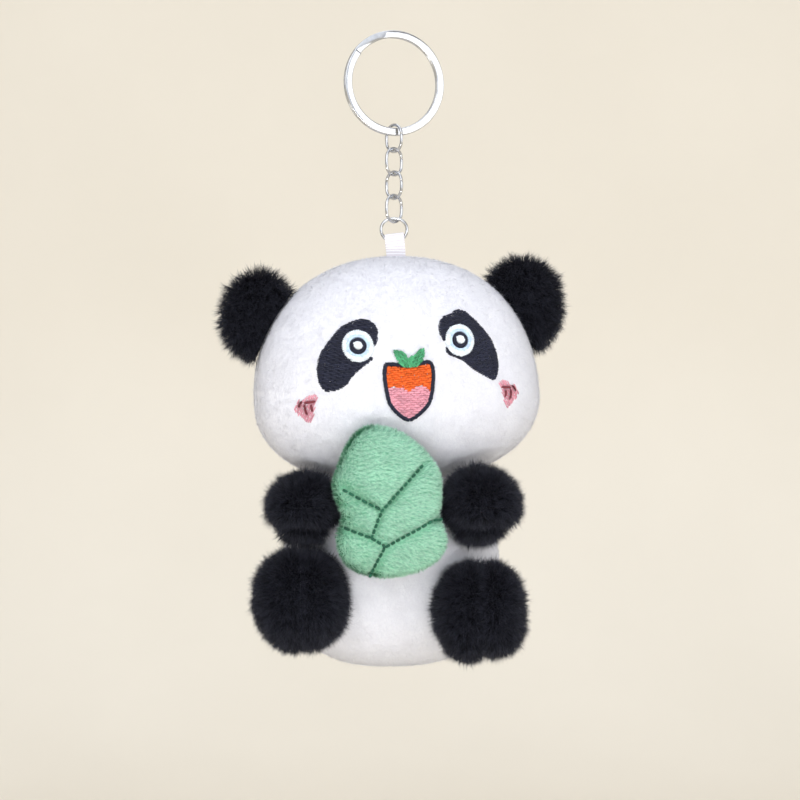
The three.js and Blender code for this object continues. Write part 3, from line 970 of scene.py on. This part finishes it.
def add_body():
    names = ["belly_panel", "body_back_panel"]
    front, back = add_cover(body, 72, 1, "torso", names, "white", "white_plush", 0.8)
    add_filling("body", body, 0.5 * MM, "torso", 12)
    add_white_pile("belly_pile", front, "torso", 23)
    add_white_pile("body_back_pile", back, "torso", 24)


# ---- Embroidered face ----

def add_stitches(name, thread, starts, ends, width, height, lift, replaces=(), shape=head,
                 body_name="head"):
    piece = stitches(name, shape, starts, ends, width, height, LOOKS[thread], lift)
    place(piece, body_name, THREADS[thread][2], replaces)


def add_region(name, thread, inside, reach, slope, replaces, pitch=0.5, longest=3.4, lift=0.35, seed=1,
               wave=0.0):
    """A filled region: satin rows on top of flat underlay stitches that cross them."""
    rows = fill_rows(inside, reach, slope, pitch, longest, seed, wave=wave)
    under = fill_rows(inside, reach, slope + math.radians(78), 0.6, 9, seed + 1, 0)
    add_stitches(name, thread, *rows, pitch * 1.08, 0.42, lift, replaces)
    add_stitches(name + "_underlay", thread, *under, 0.95, 0.3, lift - 0.28)


def ring_rows(centre, inner, outer, pitch):
    """Stitches that run outwards round a centre."""
    count = round(2 * math.pi * (inner + np.max(outer)) / 2 / pitch)
    angles = 2 * math.pi * np.arange(count) / count
    outwards = np.column_stack([np.cos(angles), np.sin(angles)])
    return centre + outwards * inner, centre + outwards * outer


def add_eye(side, sign):
    eye = np.array([sign * EYE_AT[0], EYE_AT[1]])
    outline = inside_outline(patch_outline(side))

    def patch(points):
        return outline(points) & (eye_distance(points, side) > 0.93)
    middle = np.mean(PATCH_OUTLINES[side], axis=0)
    add_region("patch_" + side, "navy", patch, (*middle, 14), math.radians(sign * 14),
               [f"eye_patch_{side}"], seed=31)
    ring = ring_rows(eye, PUPIL_R - 0.1, np.array([EYE_WIDE, EYE_HIGH]), 0.4)
    add_stitches("eye_white_" + side, "thread_white", *ring, 0.5, 0.4, 0.5, [f"eye_ring_{side}"])
    starts, ends = ring_rows(eye, PUPIL_R, IRIS_R, 0.36)
    ends += (ends - starts) * np.random.default_rng(7).uniform(-0.25, 0.25, (len(ends), 1))
    add_stitches("iris_" + side, "pale_blue", starts, ends, 0.44, 0.38, 0.68)
    pupil = ring_rows(eye, GLINT_R - 0.2, PUPIL_R, 0.32)
    add_stitches("pupil_stitches_" + side, "navy", *pupil, 0.46, 0.38, 0.72, [f"pupil_{side}"])

    def glint(points):
        return np.linalg.norm(points - eye - [0.05, 0.15], axis=1) < GLINT_R
    rows = fill_rows(glint, (*eye, GLINT_R + 0.5), math.radians(60), 0.36, 4, 5, 0)
    add_stitches("glint_" + side, "thread_white", *rows, 0.46, 0.44, 0.88, [f"eye_highlight_{side}"])


def add_mouth():
    inner = inside_outline(mouth_path(MOUTH_BORDER - 0.35))
    reach = (-1.0, 2.2, 11)

    def palate(points):
        return inner(points) & (points[:, 1] > tongue_line(points[:, 0]) - 0.1)

    def tongue(points):
        return inner(points) & (points[:, 1] < tongue_line(points[:, 0]))
    add_region("palate", "orange", palate, reach, 0.06, ["mouth_palate"], 0.62, 1.8, 0.3, 41, 0.14)
    add_region("tongue_stitches", "pink", tongue, reach, -0.02, ["tongue"], 0.62, 1.8, 0.34, 43, 0.14)
    edge = mouth_path(MOUTH_BORDER / 2)
    points, forward = even_steps(np.vstack([edge, edge[:1]]), 0.34)
    aside = np.column_stack([forward[:, 1], -forward[:, 0]])
    slant = forward * 0.2
    half = MOUTH_BORDER / 2 + 0.05
    rng = np.random.default_rng(47)
    starts = points - aside * half - slant + rng.normal(size=points.shape) * 0.05
    ends = points + aside * half + slant + rng.normal(size=points.shape) * 0.05
    add_stitches("lip", "navy", starts, ends, 0.46, 0.5, 0.6, ["mouth_outline"])


def add_sprig():
    outline = inside_outline(closed_curve(SPRIG_OUTLINE))
    for side, sign in (("left", -1), ("right", 1)):
        def leaf(points):
            return outline(points) & ((points[:, 0] - SPRIG_X) * sign > -0.15)
        replaces = ["nose_leaf"] if side == "left" else []
        rows = fill_rows(leaf, (SPRIG_X, 11, 6), math.radians(90 - sign * 48), 0.46, 2.2, 51, 0.1)
        add_stitches("leaf_" + side, "leaf", *rows, 0.55, 0.5, 0.95, replaces)


def add_cheek(side, sign):
    at = np.array(CHEEK_AT[side])
    inside = inside_outline(cheek_outline(side))
    rows = fill_rows(inside, (*at, 5.5), math.radians(-64 * sign), 0.5, 2.6, 61, 0.5)
    add_stitches("blush_" + side, "pink", *rows, 0.5, 0.34, 0.2, [f"cheek_{side}"])
    starts, ends = (at + np.array(tips) * [-sign, 1] for tips in zip(*CHEEK_LINES))
    add_stitches("blush_lines_" + side, "dark_red", starts, ends, 0.7, 0.5, 0.7)


# ---- Bamboo shoot ----

def add_shoot():
    names = ["shoot_front_panel", "shoot_back_panel"]
    surfaces = add_cover(shoot, 64, 1, "torso", names, "green", "green_plush", 0.75)
    add_filling("shoot", shoot, 0.4 * MM, "torso", 13)
    for name, surface, seed in zip(("shoot_front_pile", "shoot_back_pile"), surfaces, (71, 72)):
        coat = Coat([surface], 20, seed)
        p = shoot_ball.local(coat.roots)
        count = len(p)
        # The nap is brushed round the shoot, turns along its left edge, and parts into fine wavy rows.
        row = p[:, 2] / MM + 0.5 * np.sin(p[:, 0] / MM * 0.55) + 0.3 * waves(p, 6 * MM, 9)
        offset = ((row / 1.15 + 0.5) % 1 - 0.5) * -1.15
        turn = smooth((-8 - p[:, 0] / MM) / 6) * np.where(p[:, 2] > 0, 1.2, -1.2) - 0.2
        round_it = unit(np.cross([0, 0, 1], coat.normals) + [1e-6, 0, 0])
        comb = round_it * np.cos(turn)[:, None] + np.cross(coat.normals, round_it) * np.sin(turn)[:, None]
        comb *= 0.45 + 0.55 * np.abs(coat.normals[:, 1:2])
        rows = coat.flat(np.column_stack([np.zeros((count, 2)), offset]) * MM) / GREEN_PILE * 1.1
        lean = coat.tufted(comb + rows + coat.random_lean(0.35), 10, GREEN_PILE, 0.6)
        sewn = smooth((sewn_distance(p) - 0.4) / 1.6) if "front" in name else np.ones(count)
        length = GREEN_PILE * coat.rng.uniform(0.8, 1.1, count) * (0.2 + 0.8 * sewn)
        piece = coat.hairs(name, length, 0.16 * MM, lean, 2, LOOKS["green_hair"], rows)
        place(piece, "torso", "green_plush")
    starts, ends = [], []
    for start, end, pitch in SHOOT_LINES:
        run = np.array(end) - np.array(start)
        count = max(2, round(float(np.linalg.norm(run)) / pitch))
        for k in range(count):
            starts.append(start + run * (k + 0.08) / count)
            ends.append(start + run * (k + 0.9) / count)
    add_stitches("shoot_sewing", "stitch_green", starts, ends, 0.8, 0.75, 1.35, shape=shoot,
                 body_name="torso")


# ---- Limbs and ears ----

def add_fur(name, surfaces, body_name, shared, seed, tuft, hide):
    """Long black fur that stands out in tufts and hangs a little.

    tuft is how strongly the tips draw together. No hair grows within a gap of the balls in hide.
    """
    def keep(roots):
        kept = np.ones(len(roots), bool)
        for other, gap in hide:
            kept &= other.level(roots, gap) > 1
        return kept
    coat = Coat(surfaces, FUR_PER_MM2, seed, keep)
    count = len(coat.roots)
    length = FUR * coat.rng.uniform(0.65, 1.1, count)
    lean = coat.random_lean(0.3) + coat.flat(np.tile([0, 0, -0.3], (count, 1)))
    for other, _ in hide:
        if other is shoot_ball:
            # The paws' fur near the shoot stands forward and laps over its edge.
            near = bump(np.maximum(other.level(coat.roots, 3 * MM) - 1, 0), 0.5)[:, None]
            toward = unit(other.centre - coat.roots)
            lean += coat.flat(toward * [1, 0, 0] + [0, -1.1, 0]) * near
    lean = coat.tufted(lean, 30, FUR, tuft)
    length *= coat.rng.uniform(0.78, 1.22, count)[coat.tuft]
    piece = coat.hairs(name, length, 0.13 * MM, lean, 2, LOOKS["black_hair"])
    place(piece, body_name, "black_fur", shared=shared)


def add_furry_part(name, shape, count, axis, sides, fill, shared, seed, tuft, hide):
    """An arm, a leg or an ear: its cover, its filling if it has any, and its fur."""
    names = [f"{name}_{side}_panel" for side in sides]
    surfaces = add_cover(shape, count, axis, name, names, "black", "black_fur", fill, shared)
    if name + "_stuffing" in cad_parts:
        add_filling(name, shape, 0.4 * MM, name, seed, shared)
    add_fur(name + "_fur", surfaces, name, shared, seed, tuft, hide)


def add_arm(side, sign, seed):
    name = "arm_" + side
    ball = limb_balls[name]
    crease = limb_relief(2, -4.8, 3.6, 1.3, seed)

    def relief(p):
        return crease(p) + 1.4 * MM * smooth((-4.8 - p[:, 2] / MM) / 1.5)
    # The lower half of each paw is the longer one, and the left paw is a little narrower.
    ball.low[2] += 1.6 * MM
    if side == "left":
        ball.high[2] -= 1.9 * MM
        ball.low[0] -= 1.3 * MM
    clear = [(body_ball, 0.2 * MM), (shoot_ball, 0.2 * MM)]
    shape = Stuffed(ball, ARM_SINK, (sign * 2, -1, 0), clear, relief)
    shared = ("torso", ball.centre + [0, 9 * MM, 0], ball.centre + [0, 0, 0])
    hide = [(body_ball, 0.6 * MM), (shoot_ball, 0.6 * MM)]
    add_furry_part(name, shape, 32, 2, ("lower", "upper"), 0.75, shared, seed, 0.85, hide)


def add_leg(side, seed):
    name = "leg_" + side
    ball = limb_balls[name]
    crease = limb_relief(0, 0.5, 1.9 if side == "right" else 0.7, 1.5, seed)

    def relief(p):
        notch = 3.2 * bump(np.hypot(p[:, 0] / MM - 1, p[:, 2] / MM + 14), 3.4) if side == "right" else 0
        return crease(p) + notch * MM
    shape = Stuffed(ball, FUR_SINK, (0, -1, 0), [(body_ball, 0.2 * MM)], relief)
    shared = ("torso", ball.centre + [0, 10 * MM, 0], ball.centre + [0, 0, 0])
    hide = [(body_ball, 0.6 * MM)]
    add_furry_part(name, shape, 36, 0, ("left", "right"), 0.8, shared, seed, 0.6, hide)


def add_ear(side, seed):
    name = "ear_" + side
    ball = limb_balls[name]
    outwards = unit(ball.centre - head_ball.centre)
    ball.low[1] -= 1.2 * MM
    ball.high[1] -= 1.2 * MM
    shape = Stuffed(ball, EAR_SINK, (0, 0, 0), [(head_ball, -0.3 * MM)], limb_relief(1, 0, 0.3, 1.2, seed))
    base = ball.centre - outwards * 4 * MM
    shared = ("head", base, base + outwards * 9 * MM)
    hide = [(head_ball, 0.3 * MM)]
    add_furry_part(name, shape, 32, 1, ("front", "back"), 0.5, shared, seed, 1.0, hide)


# ---- Key ring, chain and ribbon ----

WIRE = 0.9 * MM
LINK_HALF_WIDTH, JUMP_RING_HALF_WIDTH = 3.45 * MM, 4.15 * MM
RING_WIDE, RING_THICK, RING_STEP = 2.2 * MM, 0.8 * MM, math.radians(118)


def circle(angles):
    """Unit vectors round the Y axis."""
    return np.column_stack([np.cos(angles), np.zeros(len(angles)), np.sin(angles)])


def add_wire(name, node, body_name, middle, outs, section, turn):
    """Steel wire through the points of middle, centred on its CAD node and turned about Z.

    The section's corners, an even number of them, are measured along outs and along Y.
    """
    sides = len(section)
    last = (len(middle) - 1) * sides
    rings = [middle + outs * out + [0, along, 0] for out, along in section]
    points = np.stack(rings, 1).reshape(-1, 3)
    faces = []
    for row in range(0, last, sides):
        for k in range(sides):
            following = (k + 1) % sides
            faces.append((row + k, row + following, row + sides + following, row + sides + k))
    for k in range(1, sides - 1, 2):
        faces.append((0, k + 2, k + 1, k))
        faces.append((last, last + k, last + k + 1, last + k + 2))
    low, high = (np.array(c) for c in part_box(node))
    spin = np.array(Matrix.Rotation(turn, 3, "Z"))
    piece = add_piece(name, points @ spin.T + (low + high) / 2, np.array(faces), LOOKS["steel"])
    place(piece, body_name, "steel", [node])


def add_split_ring():
    """Two turns of flat wire, the first in front of the second."""
    low, high = (np.array(c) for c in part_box("split_ring"))
    outer = (high[2] - low[2]) / 2
    step, layer = 0.42, (RING_THICK + 0.14 * MM) / 2
    turned = np.linspace(step, 4 * math.pi - step, 420)
    share = smooth((turned - 2 * math.pi + step) / (2 * step))
    flat = circle(turned + RING_STEP)
    middle = flat * (outer - RING_WIDE / 2)
    middle[:, 1] = -layer + 2 * layer * share
    section = rounded_section(RING_WIDE, RING_THICK, 0.3 * MM, 5)
    add_wire("split_ring_wire", "split_ring", "key_ring", middle, flat, section, math.radians(20))


def rounded_section(wide, thick, radius, steps):
    """Corners of a rectangle with round corners."""
    corners = []
    for number, (sx, sy) in enumerate(((1, 1), (-1, 1), (-1, -1), (1, -1))):
        for k in range(steps):
            angle = math.pi / 2 * (number + k / (steps - 1))
            corners.append((sx * (wide / 2 - radius) + radius * math.cos(angle),
                            sy * (thick / 2 - radius) + radius * math.sin(angle)))
    return corners[::-1]


def add_loop(name, node, body_name, half_width, turn, opening):
    """A loop of round wire bent shut, with the cut between its ends at an angle."""
    low, high = (np.array(c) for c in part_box(node))
    half_high = (high[2] - low[2]) / 2 - WIRE / 2
    half_wide = half_width - WIRE / 2
    bend = min(half_wide, half_high)
    gap = 0.03 * MM / bend
    flat = circle(np.linspace(opening + gap, opening + 2 * math.pi - gap, 72))
    middle = flat * bend
    middle[:, 0] += (half_wide - bend) * np.clip(flat[:, 0] * 3, -1, 1)
    middle[:, 2] += (half_high - bend) * np.clip(flat[:, 2] * 3, -1, 1)
    section = [(WIRE / 2 * math.cos(a), WIRE / 2 * math.sin(a))
               for a in np.linspace(0, -2 * math.pi, 16, endpoint=False)]
    add_wire(name, node, body_name, middle, flat, section, turn)


def add_chain():
    for number in range(1, 5):
        turn = math.radians(-45 if number % 2 else 45)
        add_loop(f"link_wire_{number}", f"chain_link_{number}", f"link_{number}", LINK_HALF_WIDTH, turn, 0.2)
    add_loop("jump_ring_wire", "jump_ring", "tab_ring", JUMP_RING_HALF_WIDTH, 0, math.radians(200))


def add_ribbon():
    """Ribbed ribbon folded over the jump ring, both ends sewn into the head's seam."""
    steps, length_steps, width_steps = 40, 420, 25
    low, high = (np.array(c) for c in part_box("ribbon_tab"))
    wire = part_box("jump_ring")[0].z + WIRE / 2
    eye, thick = 0.85 * MM, 0.4 * MM
    fold_at = high[2] - eye - thick
    outer = eye + thick / 2
    turn = np.linspace(0, math.pi, steps)
    fold = np.column_stack([outer * np.cos(turn), fold_at + outer * np.sin(turn)])
    neck = wire - 2.9 * MM
    ease = smooth(np.linspace(0, 1, steps))
    down = np.column_stack([outer + (thick * 0.6 - outer) * ease,
                            fold_at + (neck - fold_at) * np.linspace(0, 1, steps)])
    tail = np.column_stack([np.full(steps, thick * 0.6), np.linspace(neck, low[2], steps)])
    half = np.vstack([tail[::-1], down[::-1]])
    path = np.vstack([half[:-1], fold, (half * [-1, 1])[::-1][1:]])
    lengths = path_lengths(path)
    places = np.linspace(0, lengths[-1], length_steps)
    path = path_at(path, lengths, places)
    forward = unit(np.gradient(path, axis=0))
    outwards = np.column_stack([forward[:, 1], -forward[:, 0]])
    rib = 0.5 + 0.5 * np.cos(2 * math.pi * places / (0.82 * MM))
    reach = thick / 2 - 0.08 * MM * (1 - rib)
    across = np.linspace(low[0], high[0], width_steps)
    slant = 0.9 * MM * (high[2] - path[:, 1]) / (high[2] - low[2])
    ends = 1 - 0.55 * np.abs(np.linspace(-1, 1, width_steps)) ** 8
    sheets = []
    for side in (1, -1):
        flat = path[:, None] + outwards[:, None] * (side * reach[:, None] * ends[None])[..., None]
        x = across[None] + slant[:, None]
        rise = 0.12 * (across - across.mean())[None] * smooth((path[:, 1] - neck) / (2 * MM))[:, None]
        sheets.append(np.dstack([x, flat[..., 0], flat[..., 1] + rise]))
    top, under = (s.reshape(-1, 3) for s in sheets)
    numbers = np.arange(length_steps * width_steps).reshape(length_steps, width_steps)
    quads = np.stack([numbers[:-1, :-1], numbers[:-1, 1:], numbers[1:, 1:], numbers[1:, :-1]], -1)
    faces = shell_faces(quads.reshape(-1, 4), len(top))
    points = np.vstack([top, under])
    above = (top - under)[:width_steps]
    if (point_normals(points, faces)[:width_steps] * above).sum() < 0:
        faces = faces[:, ::-1]
    values = {"rib": np.tile(np.repeat(rib, width_steps), 2)}
    piece = add_piece("ribbon_loop", points, faces, LOOKS["ribbon"], values)
    place(piece, "head", "ribbon", ["ribbon_tab"])


def add_neck():
    """The short white neck, flared into the head and the body."""
    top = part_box("face_panel")[0].z + 5.5 * MM
    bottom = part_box("belly_panel")[1].z - 4.9 * MM
    centre = (head_ball.centre + body_ball.centre) / 2
    steps, sides = 28, 96
    share = np.linspace(-1, 1, steps)
    heights = (top + bottom) / 2 + (top - bottom) / 2 * np.sign(share) * np.abs(share) ** 0.8
    # It flares less at its top, where it is buried deeper.
    flare = (np.abs(share) ** 2.2 * np.where(share < 0, 1, 0.4))[:, None]
    angles = 2 * math.pi * np.arange(sides) / sides
    wide = NECK[0] + (NECK_FLARE[0] - NECK[0]) * flare
    deep = NECK[1] + (NECK_FLARE[1] - NECK[1]) * flare
    wall = np.dstack([
        centre[0] + wide * np.cos(angles),
        centre[1] + deep * np.sin(angles),
        np.repeat(heights[:, None], sides, 1),
    ])
    inner = wall.copy()
    inner[..., :2] = centre[:2] + (wall[..., :2] - centre[:2]) * 0.93
    wall, inner = wall.reshape(-1, 3), inner.reshape(-1, 3)
    numbers = np.arange(steps * sides).reshape(steps, sides)
    following = np.roll(numbers, -1, axis=1)
    quads = np.stack([numbers[:-1], following[:-1], following[1:], numbers[1:]], -1).reshape(-1, 4)
    bend = ("head", (centre[0], centre[1], top), (centre[0], centre[1], bottom))
    sleeve = add_piece("neck_sleeve", np.vstack([wall, inner]), shell_faces(quads, len(wall)), LOOKS["white"])
    place(sleeve, "torso", "white_plush", shared=bend)
    coat = Coat([(wall, quads, point_normals(wall, quads))], 6, 81)
    length = WHITE_PILE * coat.rng.uniform(0.75, 1.15, len(coat.roots))
    lean = unit(coat.random_lean(1)) * 1.4
    pile = coat.hairs("neck_pile", length, 0.12 * MM, lean, 1, LOOKS["white_hair"],
                      np.zeros_like(coat.roots))
    place(pile, "torso", "white_plush", shared=bend)


# ---- Building it ----

add_split_ring()
add_chain()
add_ribbon()
add_head()
add_body()
add_neck()
for side, sign in (("left", -1), ("right", 1)):
    add_eye(side, sign)
    add_cheek(side, sign)
add_mouth()
add_sprig()
add_shoot()
for number, (side, sign) in enumerate((("left", -1), ("right", 1))):
    add_arm(side, sign, 91 + number)
    add_leg(side, 95 + number)
    add_ear(side, 97 + number)


# ---- Stage, light and camera ----

def add_stage():
    """A pale floor that curves up into a pale wall."""
    floor_z = cad_low.z - 120 * MM
    wall_y, bend = 0.75, 0.25
    turn = np.linspace(0, math.pi / 2, 24)
    profile = [(-6, floor_z), (-2, floor_z), (0, floor_z)]
    profile += [(wall_y - bend + bend * math.sin(a), floor_z + bend - bend * math.cos(a)) for a in turn]
    profile += [(wall_y, floor_z + 0.6), (wall_y, floor_z + 2.4)]
    points = np.array([(x, y, z) for y, z in profile for x in (-4.0, 4.0)])
    faces = np.array([(2 * k, 2 * k + 1, 2 * k + 3, 2 * k + 2) for k in range(len(profile) - 1)])
    tree = new_tree("backdrop_paper")
    tint = tree.ramp(tree.noise(9, 3), (0.3, (0.755, 0.7, 0.603)), (0.7, (0.775, 0.72, 0.623)))
    paper = tree.surface({"Base Color": tint, "Roughness": 1, "Specular IOR Level": 0})
    add_piece("backdrop", points, faces, (paper, paper))


def add_light(name, at, aim, size, power, colour=(1, 1, 1), spread=180):
    data = bpy.data.lights.new(name, "AREA")
    data.shape = "RECTANGLE"
    data.size, data.size_y = size
    data.energy = power
    data.color = colour
    data.spread = math.radians(spread)
    light = bpy.data.objects.new(name, data)
    light.location = at
    light.rotation_euler = (Vector(aim) - Vector(at)).to_track_quat("-Z", "Y").to_euler()
    bpy.context.scene.collection.objects.link(light)


def add_lights():
    target = (0, 0, -0.1)
    add_light("key", (-0.35, -0.9, 0.35), target, (0.9, 0.7), 2.3, (1, 0.99, 0.98))
    add_light("fill", (0.9, -0.7, 0.05), target, (0.8, 0.5), 2.4, (0.97, 0.98, 1))
    add_light("top", (0.05, 0.1, 0.9), target, (0.7, 0.7), 1.3)
    add_light("low", (0, -0.5, -0.27), (0, 0, -0.12), (0.7, 0.05), 0.25, (0.97, 0.98, 1), 60)
    world = bpy.data.worlds.new("studio")
    tree = Tree(world)
    # The room is bright in front and above, and dim to both sides, where polished wire picks up dark streaks.
    direction = tree.add_node("TexCoord", {}, "Generated")
    sideways = tree.maths("ABSOLUTE", tree.add_node("SeparateXYZ", {"Vector": direction}, "X"))
    room = tree.ramp(sideways, (0.45, (0.9, 0.94, 1)), (0.62, (0.3, 0.3, 0.31)), (0.93, (0.3, 0.3, 0.31)),
                     (1.0, (0.5, 0.52, 0.55)))
    tree.feed(tree.nodes["Background"], {"Color": room, "Strength": 1.38})
    bpy.context.scene.world = world


def add_camera():
    """Level with the panda's chin, far enough back that its front and back look the same size."""
    distance, view_width = 0.741, 0.228
    data = bpy.data.cameras.new("camera")
    data.sensor_width = 36
    data.lens = 36 * distance / view_width
    data.clip_start, data.clip_end = 0.05, 10
    camera = bpy.data.objects.new("camera", data)
    camera.location = (1.7 * MM, -distance, -103.1 * MM)
    camera.rotation_euler = (math.pi / 2, 0, 0)
    bpy.context.scene.collection.objects.link(camera)
    bpy.context.scene.camera = camera


add_stage()
add_lights()
add_camera()
bpy.context.scene.view_settings.view_transform = "Standard"
